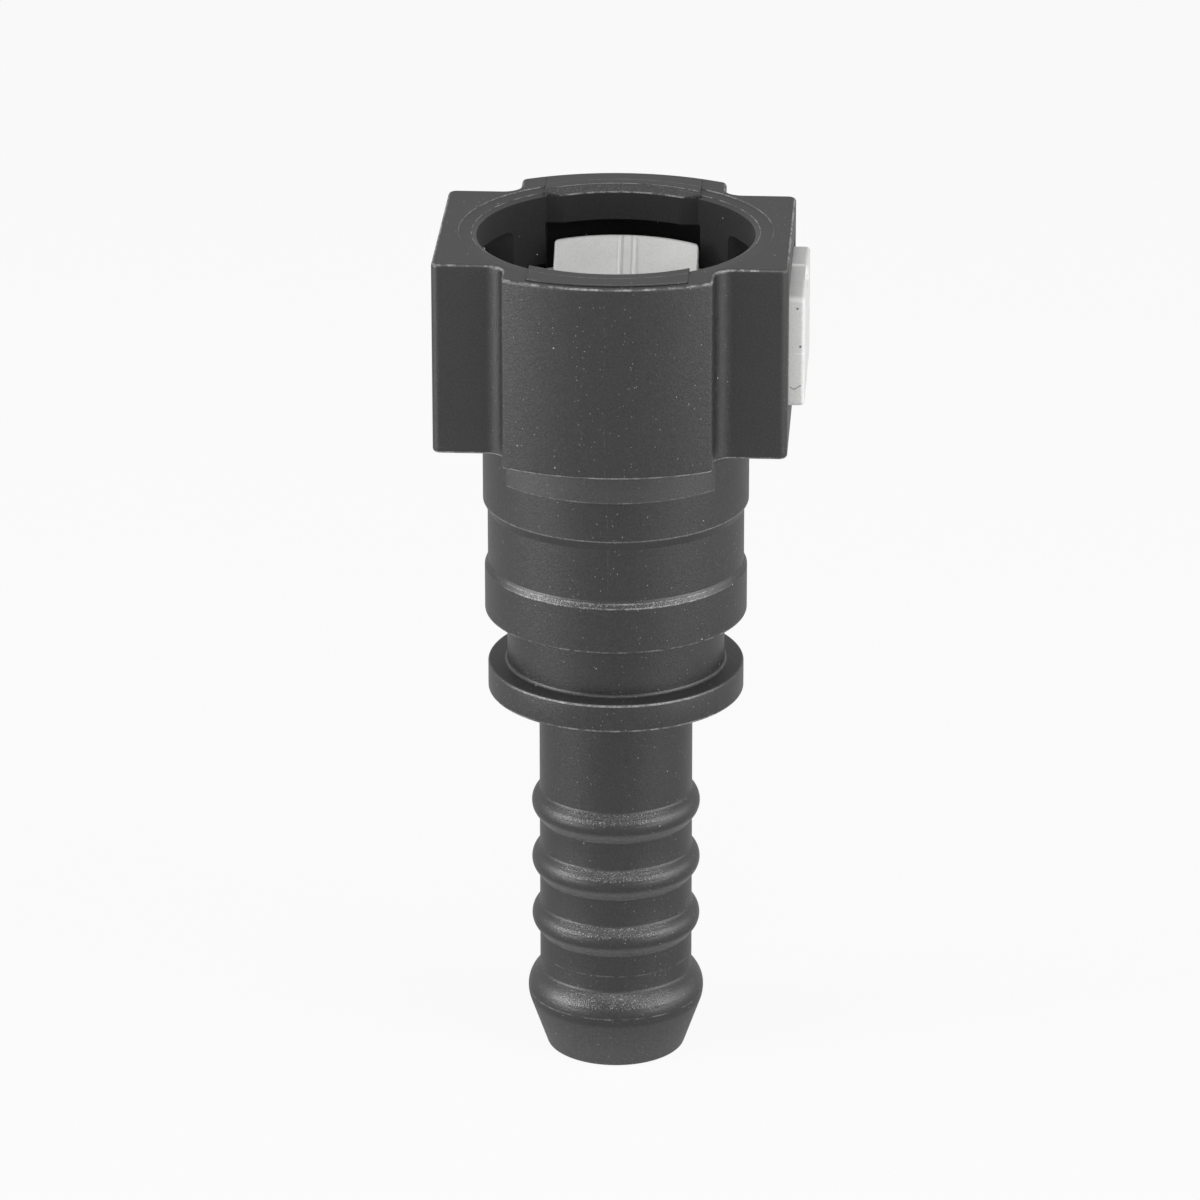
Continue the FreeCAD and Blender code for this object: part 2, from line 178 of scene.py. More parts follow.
def make_object(name, verts, faces):
    """Object with outward normals from points in millimetres."""
    mesh = bpy.data.meshes.new(name)
    mesh.from_pydata([(x * MM, y * MM, z * MM) for x, y, z in verts], [], faces)
    bm = bmesh.new()
    bm.from_mesh(mesh)
    bmesh.ops.recalc_face_normals(bm, faces=bm.faces)
    bm.to_mesh(mesh)
    bm.free()
    obj = bpy.data.objects.new(name, mesh)
    bpy.context.scene.collection.objects.link(obj)
    return obj


def rounded(corners, closed=False):
    """Points of a 2D outline through corners (a, b, radius), with an arc at each radius."""
    points = []
    count = len(corners)
    for index, (a, b, radius) in enumerate(corners):
        here = Vector((a, b))
        if radius == 0 or (not closed and index in (0, count - 1)):
            points.append(here)
            continue
        back = (Vector(corners[index - 1][:2]) - here).normalized()
        ahead = (Vector(corners[(index + 1) % count][:2]) - here).normalized()
        half = back.angle(ahead) / 2
        centre = here + (back + ahead).normalized() * (radius / math.sin(half))
        first = here + back * (radius / math.tan(half)) - centre
        sweep = math.pi - 2 * half
        if first.y * back.x - first.x * back.y < 0:
            sweep = -sweep
        steps = max(2, math.ceil(abs(sweep) / ROUND_STEP))
        for step in range(steps + 1):
            points.append(centre + Matrix.Rotation(sweep * step / steps, 2) @ first)
    return [(p.x, p.y) for p in points]


def arc(centre, radius, start, end, step=ROUND_STEP):
    """Points of an arc, angles in degrees."""
    steps = max(1, math.ceil(math.radians(abs(end - start)) / step))
    points = []
    for index in range(steps + 1):
        turn = math.radians(start + (end - start) * index / steps)
        points.append((centre[0] + radius * math.cos(turn), centre[1] + radius * math.sin(turn)))
    return points


def circle(middle, radius, step):
    """Closed ring of points, one at every step of degrees."""
    return arc(middle, radius, 0, 360 - step, math.radians(step))


def lathe(name, profile, segments=TURN_SEGMENTS):
    """Solid of revolution about Z of an outline (r, z). An open outline starts and ends on the axis."""
    verts, rings = [], []
    for r, z in profile:
        if r < 1e-9:
            rings.append([len(verts)] * segments)
            verts.append((0, 0, z))
            continue
        rings.append(list(range(len(verts), len(verts) + segments)))
        for index in range(segments):
            turn = 2 * math.pi * index / segments
            verts.append((r * math.cos(turn), r * math.sin(turn), z))
    pairs = list(zip(rings, rings[1:]))
    if rings[0][0] != rings[0][1]:
        pairs.append((rings[-1], rings[0]))
    faces = []
    for low, high in pairs:
        for index in range(segments):
            after = (index + 1) % segments
            face = [low[index], low[after], high[after], high[index]]
            face = [v for k, v in enumerate(face) if v != face[k - 1]]
            if len(face) > 2:
                faces.append(face)
    return make_object(name, verts, faces)


def stack(name, loops):
    """Closed solid through loops of equal length, with flat ends."""
    count = len(loops[0])
    verts = [p for loop in loops for p in loop]
    faces = [list(range(count)), [len(verts) - 1 - k for k in range(count)]]
    for row in range(len(loops) - 1):
        for index in range(count):
            after = (index + 1) % count
            faces.append([
                row * count + index, row * count + after,
                (row + 1) * count + after, (row + 1) * count + index,
            ])
    return make_object(name, verts, faces)


def inset(outline, distance):
    """Closed 2D outline, anticlockwise, moved inwards by a distance along its normals."""
    moved = []
    count = len(outline)
    for index, (a, b) in enumerate(outline):
        before = Vector(outline[index - 1])
        after = Vector(outline[(index + 1) % count])
        here = Vector((a, b))
        one = (here - before).normalized()
        two = (after - here).normalized()
        inward = Vector((-one.y - two.y, one.x + two.x)).normalized()
        cosine = max(0.3, inward.dot(Vector((-one.y, one.x))))
        moved.append(tuple(here + inward * (distance / cosine)))
    return moved


def box_outline(x0, y0, x1, y1, r=0.0):
    """Rectangle with rounded corners, anticlockwise."""
    return rounded([(x0, y0, r), (x1, y0, r), (x1, y1, r), (x0, y1, r)], closed=True)


def edge_steps(radius, steps=5):
    """(rise, inset) pairs of a quarter round, from the face in to the side."""
    pairs = []
    for index in range(steps + 1):
        turn = math.pi / 2 * index / steps
        pairs.append((radius * (1 - math.cos(turn)), radius * (1 - math.sin(turn))))
    return pairs


def column(name, outline, low, high, low_round=0.0, high_round=0.0):
    """Upright prism of an outline with quarter rounds at its lower and upper rims."""
    loops = []
    if low_round:
        for rise, depth in edge_steps(low_round):
            loops.append([(x, y, low + rise) for x, y in inset(outline, depth)])
    else:
        loops.append([(x, y, low) for x, y in outline])
    if high_round:
        for rise, depth in reversed(edge_steps(high_round)):
            loops.append([(x, y, high - rise) for x, y in inset(outline, depth)])
    else:
        loops.append([(x, y, high) for x, y in outline])
    return stack(name, loops)


def cut(target, tool, operation="DIFFERENCE"):
    """Boolean of two closed meshes. The tool is used up."""
    modifier = target.modifiers.new("cut", "BOOLEAN")
    modifier.operation = operation
    modifier.solver = "EXACT"
    modifier.object = tool
    depsgraph = bpy.context.evaluated_depsgraph_get()
    mesh = bpy.data.meshes.new_from_object(target.evaluated_get(depsgraph))
    target.modifiers.clear()
    old = target.data
    target.data = mesh
    bpy.data.meshes.remove(old)
    bpy.data.objects.remove(tool)


def join(target, tool):
    cut(target, tool, "UNION")


def on_side(obj, side):
    """Closed mesh that is drawn at the back (side 1), mirrored to the front where side is -1."""
    if side < 0:
        obj.data.transform(Matrix.Diagonal((1, -1, 1, 1)))
        obj.data.flip_normals()
    return obj


def smooth(obj, angle=32):
    """Smooth shading with flat faces kept flat."""
    for face in obj.data.polygons:
        face.use_smooth = True
    obj.data.set_sharp_from_angle(angle=math.radians(angle))
    modifier = obj.modifiers.new("normals", "WEIGHTED_NORMAL")
    modifier.keep_sharp = True
    modifier.weight = 60
    bpy.context.view_layer.objects.active = obj


# Connector body

def bow_y(x, depth=0.0):
    """Place of the back bow at x, at a depth under its surface."""
    return BULGE_REACH - BOW_RADIUS + math.sqrt((BOW_RADIUS - depth) ** 2 - x ** 2)


def bow_points(half_width, depth, steps=BOW_STEPS):
    """Points of the back bow from right to left."""
    points = []
    for index in range(steps + 1):
        x = half_width * (1 - 2 * index / steps)
        points.append((x, bow_y(x, depth)))
    return points


def head_outline():
    """Outline of the head, anticlockwise, with its rounded corners and hollow roots."""
    ex, ey = EARS
    w = BULGE_HALF_WIDTH
    end = w - BOW_END
    slope = math.tan(math.asin(end / BOW_RADIUS))
    quarter = rounded([
        (ex, 0, 0), (ex, ey, EARS_CORNER_ROUND), (w, ey, BULGE_ROOT_ROUND),
        (w, bow_y(end) - slope * BOW_END, BULGE_CORNER_ROUND), (end, bow_y(end), 0),
    ])
    mirror = [(-x, y) for x, y in reversed(quarter)]
    back = quarter[1:] + bow_points(end, 0.0, 28)[1:-1] + mirror[:-1]
    front = [(-x, -y) for x, y in back]
    return [quarter[0]] + back + [mirror[-1]] + front


def outside_profile():
    """Outside of the turned part: tip, nose, ribs, collar, neck and bands, as (r, z)."""
    tilt = math.radians(NOSE_HALF_ANGLE)
    crest = (NOSE_CREST_RADIUS - NOSE_CREST_ROUND, NOSE_CREST_Z)
    shoulder = (NOSE_CREST_RADIUS - NOSE_SHOULDER_ROUND, NOSE_CREST_Z)
    cone_top = arc(crest, NOSE_CREST_ROUND, -NOSE_HALF_ANGLE, 0)[0]
    tip = cone_top[0] - cone_top[1] * math.tan(tilt)
    points = rounded([(0, 0, 0), (tip, 0, STEM_END_ROUND), (cone_top[0], cone_top[1], 0)])[:-1]
    points += arc(crest, NOSE_CREST_ROUND, -NOSE_HALF_ANGLE, 0, math.radians(5))
    root = STEM_RADIUS + RIB_ROOT_ROUND
    end = math.degrees(math.acos((root - shoulder[0]) / (NOSE_SHOULDER_ROUND + RIB_ROOT_ROUND)))
    points += arc(shoulder, NOSE_SHOULDER_ROUND, 0, end, math.radians(6))[1:]
    hollow_z = NOSE_CREST_Z + (NOSE_SHOULDER_ROUND + RIB_ROOT_ROUND) * math.sin(math.radians(end))
    points += arc((root, hollow_z), RIB_ROOT_ROUND, 180 + end, 180)[1:]
    for height in RIB_HEIGHTS:
        centre = RIB_CREST_RADIUS - RIB_ROUND
        reach = RIB_ROUND + RIB_ROOT_ROUND
        half = math.sqrt(reach ** 2 - (root - centre) ** 2)
        lean = math.degrees(math.atan2(half, root - centre))
        points += arc((root, height - half), RIB_ROOT_ROUND, 180, 180 - lean)
        points += arc((centre, height), RIB_ROUND, -lean, lean, math.radians(7))[1:]
        points += arc((root, height + half), RIB_ROOT_ROUND, 180 + lean, 180)[1:]
    start = points[-1]
    points += rounded([
        (start[0], start[1], 0),
        (STEM_RADIUS, COLLAR_Z, STEM_END_ROUND),
        (COLLAR_RADIUS, COLLAR_Z, COLLAR_RIM_ROUND),
        (COLLAR_RADIUS, NECK_Z, COLLAR_RIM_ROUND),
        (NECK_RADIUS, NECK_Z, NECK_ROOT_ROUND),
        (NECK_RADIUS, LOWER_BAND_Z, NECK_ROOT_ROUND),
        (LOWER_BAND_RADIUS, LOWER_BAND_Z, 0.12),
        (LOWER_BAND_RADIUS, LOWER_CHAMFER_Z, 0.08),
        (WAIST_RADIUS, WAIST_Z, 0.10),
        (WAIST_RADIUS, SHOULDER_Z, 0.12),
        (UPPER_BAND_RADIUS, UPPER_BAND_Z, 0.10),
        (UPPER_BAND_RADIUS, HEAD_Z + BARREL_OVERLAP, 0),
        (0, HEAD_Z + BARREL_OVERLAP, 0),
    ])[1:]
    return points


def pad_outline():
    """Outline of the two round pads under the bulges."""
    edge = math.degrees(math.acos(BULGE_HALF_WIDTH / PAD_RADIUS))
    back = arc((0, 0), PAD_RADIUS, edge, 180 - edge, math.radians(3))
    return back + [(-x, -y) for x, y in back]


def lip():
    """Back lip, lofted upwards. Its inner edge is the larger of the flat, the bore and the bevel's cone."""
    steps, levels = 48, 8
    rows = [(ROOF_Z, LIP_INNER_RADIUS, 0.0)]
    for level in range(levels + 1):
        share = level / levels
        cone = LIP_INNER_RADIUS + (LIP_BEVEL_RADIUS - LIP_INNER_RADIUS) * share
        depth = max(0.0, LIP_EDGE_ROUND - LIP_BEVEL_DEPTH * (1 - share))
        rows.append((LIP_TOP_Z - LIP_BEVEL_DEPTH * (1 - share), cone, depth))
    loops = []
    for z, cone, depth in rows:
        outer, inner = [], []
        for index in range(steps + 1):
            x = (LIP_HALF_WIDTH - depth) * (1 - 2 * index / steps)
            outer.append((x, bow_y(x, LIP_MARGIN + depth), z))
            inner.append((x, max(LIP_INNER_FLAT, math.sqrt(cone ** 2 - x ** 2)), z))
        loops.append(outer + inner[::-1])
    return stack("lip", loops)


def window_cutter(side):
    """Rounded rectangle that flares out by a small round at the outer face."""
    outline = box_outline(-WINDOW_HALF_WIDTH, SILL_Z, WINDOW_HALF_WIDTH, ROOF_Z, WINDOW_CORNER_ROUND)
    stations = [(WINDOW_START_X, 0.0)]
    for out, back in edge_steps(WINDOW_EDGE_ROUND):
        stations.append((EARS[0] - back, -out))
    stations.append((EARS[0] + PAST, -WINDOW_EDGE_ROUND))
    loops = []
    for x, depth in stations:
        loops.append([(side * x, a, b) for a, b in inset(outline, depth)])
    return stack("window", loops)


def inside_profile():
    """Passage through the body from the stem's tip to the mouth, as (r, z)."""
    inner_ring, outer_ring = MOUTH_RING_RADII
    ring_edge = outer_ring + MOUTH_RING_STEP
    return rounded([
        (0, -PAST, 0),
        (STEM_BORE + BORE_CHAMFER, -PAST, 0),
        (STEM_BORE + BORE_CHAMFER, 0, 0),
        (STEM_BORE, BORE_CHAMFER, 0.20),
        (STEM_BORE, PILOT_Z, 0),
        (PILOT_BORE, PILOT_Z, 0.20),
        (PILOT_BORE, SEAL_FLOOR_Z, 0.15),
        (SEAL_BORE, SEAL_FLOOR_Z, 0.10),
        (SEAL_BORE, FLOOR_Z, 0),
        (CHAMBER_RADIUS, FLOOR_Z, 0.25),
        (CHAMBER_RADIUS, SILL_Z, 0),
        (CHANNEL_RADIUS, SILL_Z, 0),
        (CHANNEL_RADIUS, CHANNEL_TOP_Z, 0.15),
        (CHAMBER_RADIUS, CHANNEL_TOP_Z, 0.10),
        (CHAMBER_RADIUS, MOUTH_Z - MOUTH_BEVEL_DEPTH, 0.06),
        (inner_ring, MOUTH_Z - MOUTH_RING_DEPTHS[0], 0.04),
        (outer_ring, MOUTH_Z - MOUTH_RING_DEPTHS[1], 0.02),
        (ring_edge, MOUTH_Z, 0),
        (ring_edge, MOUTH_Z + PAST, 0),
        (0, MOUTH_Z + PAST, 0),
    ])


def groove_cutter():
    """Narrow groove along the outer edge of the back lip."""
    half = LIP_HALF_WIDTH + GROOVE_SIDE_GAP
    outline = bow_points(half, LIP_MARGIN - GROOVE_WIDTH) + bow_points(half, LIP_MARGIN + 0.2)[::-1]
    return column("groove", outline, MOUTH_Z - GROOVE_DEPTH, MOUTH_Z + PAST)


def pocket_cutter():
    """Room under the back lip, out to the bulge's wall."""
    outline = bow_points(LIP_HALF_WIDTH, BULGE_WALL)
    outline += [(-LIP_HALF_WIDTH, POCKET_FRONT), (LIP_HALF_WIDTH, POCKET_FRONT)]
    return column("pocket", outline, SILL_Z, ROOF_Z)


def make_body():
    body = lathe("body_shell", outside_profile())
    join(body, column("head", head_outline(), HEAD_Z, MOUTH_Z, HEAD_EDGE_ROUND, HEAD_EDGE_ROUND))
    join(body, column("pads", pad_outline(), PAD_Z, HEAD_Z + PAD_OVERLAP, PAD_EDGE_ROUND))
    cut(body, lathe("inside", inside_profile()))
    for side in (1, -1):
        cut(body, on_side(groove_cutter(), side))
    for side in (1, -1):
        join(body, on_side(lip(), side))
    for side in (1, -1):
        cut(body, on_side(pocket_cutter(), side))
    for side in (1, -1):
        cut(body, window_cutter(side))
    return body


body = make_body()
smooth(body)
body.name = "body_shell"
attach(body, "fitting")
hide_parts("connector_body")


# Retainer

# Sections of a latch and of its ridges: (distance from the axis, z, round)
LATCH_SECTION = (
    (5.00, 43.00, 0.10), (LATCH_BACK, 43.00, 0.05), (LATCH_BACK, 46.55, 0.15),
    (7.10, 47.00, 0.06), (6.90, 47.00, 0.14), (5.00, 44.70, 0.25),
)
RIDGE_SECTION = (
    (4.84, 43.04, 0.10), (7.05, 43.04, 0.05), (7.05, 46.96, 0.05), (6.74, 46.96, 0.10), (4.84, 44.70, 0.25),
)


def lens(radius):
    """Outline of the space shared by two discs that stand one travel apart, anticlockwise."""
    half = math.degrees(math.acos(TRAVEL / 2 / radius))
    right = arc((0, 0), radius, -half, half, math.radians(4))
    left = arc((TRAVEL, 0), radius, 180 - half, 180 + half, math.radians(4))
    return right + left[1:-1]


def leg_column(name, outline):
    """Upright prism of the height of the retainer's legs."""
    return column(name, outline, RETAINER_Z, LEG_TOP_Z, RETAINER_EDGE_ROUND, RETAINER_EDGE_ROUND)


def leg_cutter(name, outline):
    """Cutter that runs through the height of the retainer's legs."""
    return column(name, outline, RETAINER_Z - PAST, LEG_TOP_Z + PAST)


def bead_room(middle):
    """Cutter of the round room for the pipe's bead."""
    return leg_cutter("bead_room", circle((middle, 0), BEAD_ROOM_RADIUS, 3))


def legs():
    """Curved band in the channel, open between the feet."""
    outer = CHANNEL_RADIUS - CHANNEL_GAP
    shell = leg_column("retainer", lens(outer))
    cut(shell, leg_cutter("room", lens(outer - LEG_THICKNESS)))
    cut(shell, leg_cutter("gap", box_outline(-outer - PAST, -FOOT_SIDES[0], 0, FOOT_SIDES[0])))
    return shell


def yoke():
    """Block between the legs and the button, with the room for the bead."""
    half = BUTTON_HALF_WIDTH
    piece = leg_column("yoke", box_outline(0, -half, BUTTON_BACK + BUTTON_OVERLAP, half))
    cut(piece, bead_room(TRAVEL))
    return piece


def foot():
    """Back foot, which hooks behind the far wall with the lug on its end."""
    inner, outer = FOOT_SIDES
    piece = leg_column("foot", box_outline(-FOOT_REACH, inner, 0, outer, FOOT_CORNER_ROUND))
    cut(piece, bead_room(0))
    outline = box_outline(-FOOT_REACH, inner, -LUG_FRONT, outer, LUG_ROUND)
    join(piece, column("lug", outline, RETAINER_Z, LUG_TOP_Z, RETAINER_EDGE_ROUND, LUG_ROUND))
    return piece


def button_plate():
    """Plate from the yoke out to its rounded face, with the notch and the recess at the top of the face."""
    half, top = BUTTON_HALF_WIDTH, RETAINER_TOP_Z
    outline = box_outline(-half, RETAINER_Z, half, top, BUTTON_CORNER_ROUND)
    loops = [[(BUTTON_BACK, a, b) for a, b in outline]]
    for rise, depth in reversed(edge_steps(BUTTON_EDGE_ROUND)):
        loops.append([(BUTTON_FACE - rise, a, b) for a, b in inset(outline, depth)])
    plate = stack("plate", loops)
    loops = []
    for x, flare in ((BUTTON_FACE - NOTCH_DEPTH, 0.0), (BUTTON_FACE + 0.5, NOTCH_FLARE)):
        half, low = NOTCH_HALF_WIDTH + flare, top - NOTCH_HEIGHT - flare
        outline = box_outline(-half, low, half, top + PAST, NOTCH_CORNER_ROUND)
        loops.append([(x, a, b) for a, b in outline])
    cut(plate, stack("notch", loops))
    half = NOTCH_HALF_WIDTH
    outline = box_outline(BUTTON_FACE - RECESS_LENGTH, -half, BUTTON_FACE + PAST, half, RECESS_CORNER_ROUND)
    cut(plate, column("recess", outline, top - RECESS_DEPTH, top + PAST))
    return plate


def latch_part(name, section, low, high, edge):
    """Part of the back latch between two upright planes, its sides rounded by edge."""
    stations = [(low + rise, depth) for rise, depth in edge_steps(edge, 4)]
    count = max(2, math.ceil((high - low) / LATCH_STATION))
    for index in range(1, count):
        stations.append((low + edge + (high - low - 2 * edge) * index / count, 0.0))
    stations += [(high - rise, depth) for rise, depth in reversed(edge_steps(edge, 4))]
    loops = []
    for x, depth in stations:
        moved = inset([corner[:2] for corner in section], depth)
        corners = [(a, b, max(0.01, corner[2] - depth)) for (a, b), corner in zip(moved, section)]
        limit = math.sqrt(LATCH_BACK ** 2 - max(x, TRAVEL - x) ** 2)
        outline = rounded(corners, closed=True)
        loops.append([(x, min(math.sqrt(r * r - x * x), limit), z) for r, z in outline])
    return stack(name, loops)


def latch():
    """Back latch with its lead-in ramp and the two ridges on it."""
    half = LATCH_HALF_WIDTH
    piece = latch_part("latch", LATCH_SECTION, LATCH_SHIFT - half, LATCH_SHIFT + half, LATCH_EDGE_ROUND)
    half = RIDGE_HALF_WIDTH
    for middle in (LATCH_SHIFT - RIDGE_SHIFT, LATCH_SHIFT + RIDGE_SHIFT):
        join(piece, latch_part("ridge", RIDGE_SECTION, middle - half, middle + half, RIDGE_EDGE_ROUND))
    return piece


def make_retainer():
    shell = legs()
    join(shell, yoke())
    for side in (1, -1):
        join(shell, on_side(foot(), side))
    join(shell, button_plate())
    for side in (1, -1):
        join(shell, on_side(latch(), side))
    return shell


retainer = make_retainer()
smooth(retainer)
retainer.name = "retainer_clip"
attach(retainer, "retainer")
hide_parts("push_button_retainer")


# Rings

def ring(name, outline, node, angle=32):
    obj = lathe(name, outline, RING_SEGMENTS)
    smooth(obj, angle)
    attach(obj, "fitting")
    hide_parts(node)
    return obj


bushing = ring("bushing", rounded([
    (BUSHING_BORE, BUSHING_Z, 0.15), (RING_RADIUS, BUSHING_Z, 0.12), (RING_RADIUS, FLOOR_Z, 0.10),
    (BUSHING_LEAD_RADIUS, FLOOR_Z, 0.12), (BUSHING_BORE, BUSHING_LEAD_Z, 0.40),
], closed=True), "guide_bushing")
spacer_outline = box_outline(SPACER_BORE, SPACER_Z, RING_RADIUS, SPACER_Z + SPACER_HEIGHT, SPACER_ROUND)
spacer = ring("spacer", spacer_outline, "spacer_ring")
seals = []
for seal_name, seal_z, seal_node in SEALS:
    section = circle((SEAL_CENTRE_RADIUS, seal_z), SEAL_SECTION_RADIUS, 15)
    seals.append(ring(seal_name, section, seal_node, 60))


# Materials

class Graph:
    """Nodes of one material. Positions are millimetres of the part's frame."""

    def __init__(self, name):
        self.material = bpy.data.materials.new(name)
        self.material.use_nodes = True
        self.nodes = self.material.node_tree.nodes
        self.links = self.material.node_tree.links
        self.nodes.clear()
        self.output = self.nodes.new("ShaderNodeOutputMaterial")
        self.shader = self.nodes.new("ShaderNodeBsdfPrincipled")
        self.links.new(self.shader.outputs[0], self.output.inputs[0])
        coords = self.nodes.new("ShaderNodeTexCoord")
        scale = self.nodes.new("ShaderNodeVectorMath")
        scale.operation = "SCALE"
        scale.inputs["Scale"].default_value = 1 / MM
        self.links.new(coords.outputs["Object"], scale.inputs[0])
        self.place = scale.outputs[0]
        self.x, self.y, self.z = self.split(self.place)
        self.rise = self.split(coords.outputs["Normal"])[2]
        self.radius = self.length(self.x, self.y)

    def set(self, socket, value):
        if isinstance(value, bpy.types.NodeSocket):
            self.links.new(value, socket)
        elif isinstance(value, tuple):
            socket.default_value = (*value, 1)
        else:
            socket.default_value = value

    def split(self, vector):
        node = self.nodes.new("ShaderNodeSeparateXYZ")
        self.links.new(vector, node.inputs[0])
        return node.outputs[0], node.outputs[1], node.outputs[2]

    def math(self, operation, first, second=0.0):
        node = self.nodes.new("ShaderNodeMath")
        node.operation = operation
        for socket, value in zip(node.inputs, (first, second)):
            self.set(socket, value)
        return node.outputs[0]

    def length(self, first, second):
        squares = self.math("ADD", self.math("POWER", first, 2), self.math("POWER", second, 2))
        return self.math("SQRT", squares)

    def away(self, value, middle):
        """Distance of a value from a middle."""
        return self.math("ABSOLUTE", self.math("SUBTRACT", value, middle))

    def ramp(self, value, low, high, out_low=0.0, out_high=1.0):
        """Straight change from one output to another between two values, held beyond them."""
        node = self.nodes.new("ShaderNodeMapRange")
        self.links.new(value, node.inputs["Value"])
        limits = {"From Min": low, "From Max": high, "To Min": out_low, "To Max": out_high}
        for name, number in limits.items():
            node.inputs[name].default_value = number
        return node.outputs["Result"]

    def band(self, value, low, high, soft):
        """1 between two values, fading to 0 over a soft width outside them."""
        up = self.ramp(value, low - soft, low)
        return self.math("MULTIPLY", up, self.ramp(value, high, high + soft, 1.0, 0.0))

    def both(self, *masks):
        total = masks[0]
        for mask in masks[1:]:
            total = self.math("MULTIPLY", total, mask)
        return total

    def any(self, *masks):
        total = masks[0]
        for mask in masks[1:]:
            total = self.math("MAXIMUM", total, mask)
        return total

    def noise(self, scale, detail, rough):
        """Noise of a number of cells per millimetre."""
        node = self.nodes.new("ShaderNodeTexNoise")
        self.links.new(self.place, node.inputs["Vector"])
        for name, number in {"Scale": scale, "Detail": detail, "Roughness": rough}.items():
            node.inputs[name].default_value = number
        return node.outputs["Fac"]

    def specks(self, scale, size, share):
        """Small dots, one in a share of the cells, of mixed brightness."""
        cells = self.nodes.new("ShaderNodeTexVoronoi")
        self.links.new(self.place, cells.inputs["Vector"])
        cells.inputs["Scale"].default_value = scale
        dot = self.ramp(cells.outputs["Distance"], size * scale * 0.6, size * scale, 1.0, 0.0)
        return self.both(dot, self.ramp(cells.outputs["Color"], 1 - share, 1.0, 0.0, 1.0))

    def mix(self, factor, first, second):
        node = self.nodes.new("ShaderNodeMix")
        node.data_type = "RGBA"
        self.set(node.inputs["Factor"], factor)
        self.set(node.inputs["A"], first)
        self.set(node.inputs["B"], second)
        return node.outputs["Result"]

    def bump(self, height, distance):
        node = self.nodes.new("ShaderNodeBump")
        node.inputs["Distance"].default_value = distance * MM
        self.links.new(height, node.inputs["Height"])
        self.links.new(node.outputs["Normal"], self.shader.inputs["Normal"])

    def finish(self, colour, roughness, specular):
        self.set(self.shader.inputs["Base Color"], colour)
        self.set(self.shader.inputs["Roughness"], roughness)
        self.set(self.shader.inputs["Specular IOR Level"], specular)
        return self.material


def grey(level):
    return (level, level, level)


# Fine light lines on the turned part: mould lines and wear, and painted highlights along the edge rounds:
# (z, half width, strength, share of it that the breaks leave, least radius, whether it fades at the sides)
LIGHT_LINES = (
    (COLLAR_Z + 0.08, 0.050, 0.80, 0.2, 7.15, False),
    (NECK_Z - 0.11, 0.045, 1.00, 0.4, 7.20, True),
    (NECK_Z + 0.05, 0.020, 0.12, 0.3, 6.20, False),
    (LOWER_BAND_Z + 0.09, 0.040, 0.50, 0.2, 7.40, False),
    (LOWER_CHAMFER_Z + 0.01, 0.030, 1.00, 0.1, 7.30, True),
    (WAIST_Z - 0.16, 0.030, 1.00, 0.1, 7.30, True),
    (UPPER_BAND_Z + 0.03, 0.030, 0.45, 0.7, 7.50, False),
    (PAD_Z + 0.05, 0.040, 0.40, 0.2, 7.90, False),
    (NOSE_CREST_Z - 0.06, 0.025, 0.50, 0.0, 5.00, False),
    (NOSE_CREST_Z + 2.36, 0.030, 0.25, 0.0, 4.30, False),
)
# Places on a rib, from its middle: the foot's light line, the frosted band with painted sheen and the
# plainer line in it
RIB_FOOT_LINE = -0.92
RIB_FROST = (0.37, 0.80)
RIB_PLAIN_LINE = 0.63
NOSE_FROST = (4.05, 4.77)
SEAM_X = (-0.07, -0.03)
# Above this height all within the seal bore's radius is inside
BORE_MASK_Z = 28.0


def inside_masks(g):
    """Masks of the chamber with its windows and pockets, of all the inside and of the outside."""
    side_x, side_y = g.math("ABSOLUTE", g.x), g.math("ABSOLUTE", g.y)
    room = g.ramp(g.radius, CHANNEL_RADIUS + 0.05, CHANNEL_RADIUS + 0.08, 1.0, 0.0)
    windows = g.both(
        g.ramp(side_y, WINDOW_HALF_WIDTH + 0.05, WINDOW_HALF_WIDTH + 0.08, 1.0, 0.0),
        g.ramp(side_x, EARS[0] - 0.15, EARS[0] - 0.05, 1.0, 0.0),
    )
    pockets = g.both(
        g.ramp(side_x, LIP_HALF_WIDTH + 0.03, LIP_HALF_WIDTH + 0.06, 1.0, 0.0),
        g.ramp(side_y, BULGE_REACH - 0.97, BULGE_REACH - 0.90, 1.0, 0.0),
    )
    heights = g.band(g.z, FLOOR_Z - 0.1, MOUTH_Z - MOUTH_BEVEL_DEPTH - 0.03, 0.03)
    chamber = g.both(heights, g.any(room, windows, pockets))
    bore = g.both(
        g.ramp(g.radius, SEAL_BORE + 0.03, SEAL_BORE + 0.06, 1.0, 0.0),
        g.ramp(g.z, BORE_MASK_Z, BORE_MASK_Z + 0.1),
    )
    inside = g.any(chamber, bore)
    outside = g.both(g.ramp(g.radius, STEM_BORE + 0.1, STEM_BORE + 0.2), g.ramp(inside, 0.0, 1.0, 1.0, 0.0))
    return chamber, inside, outside


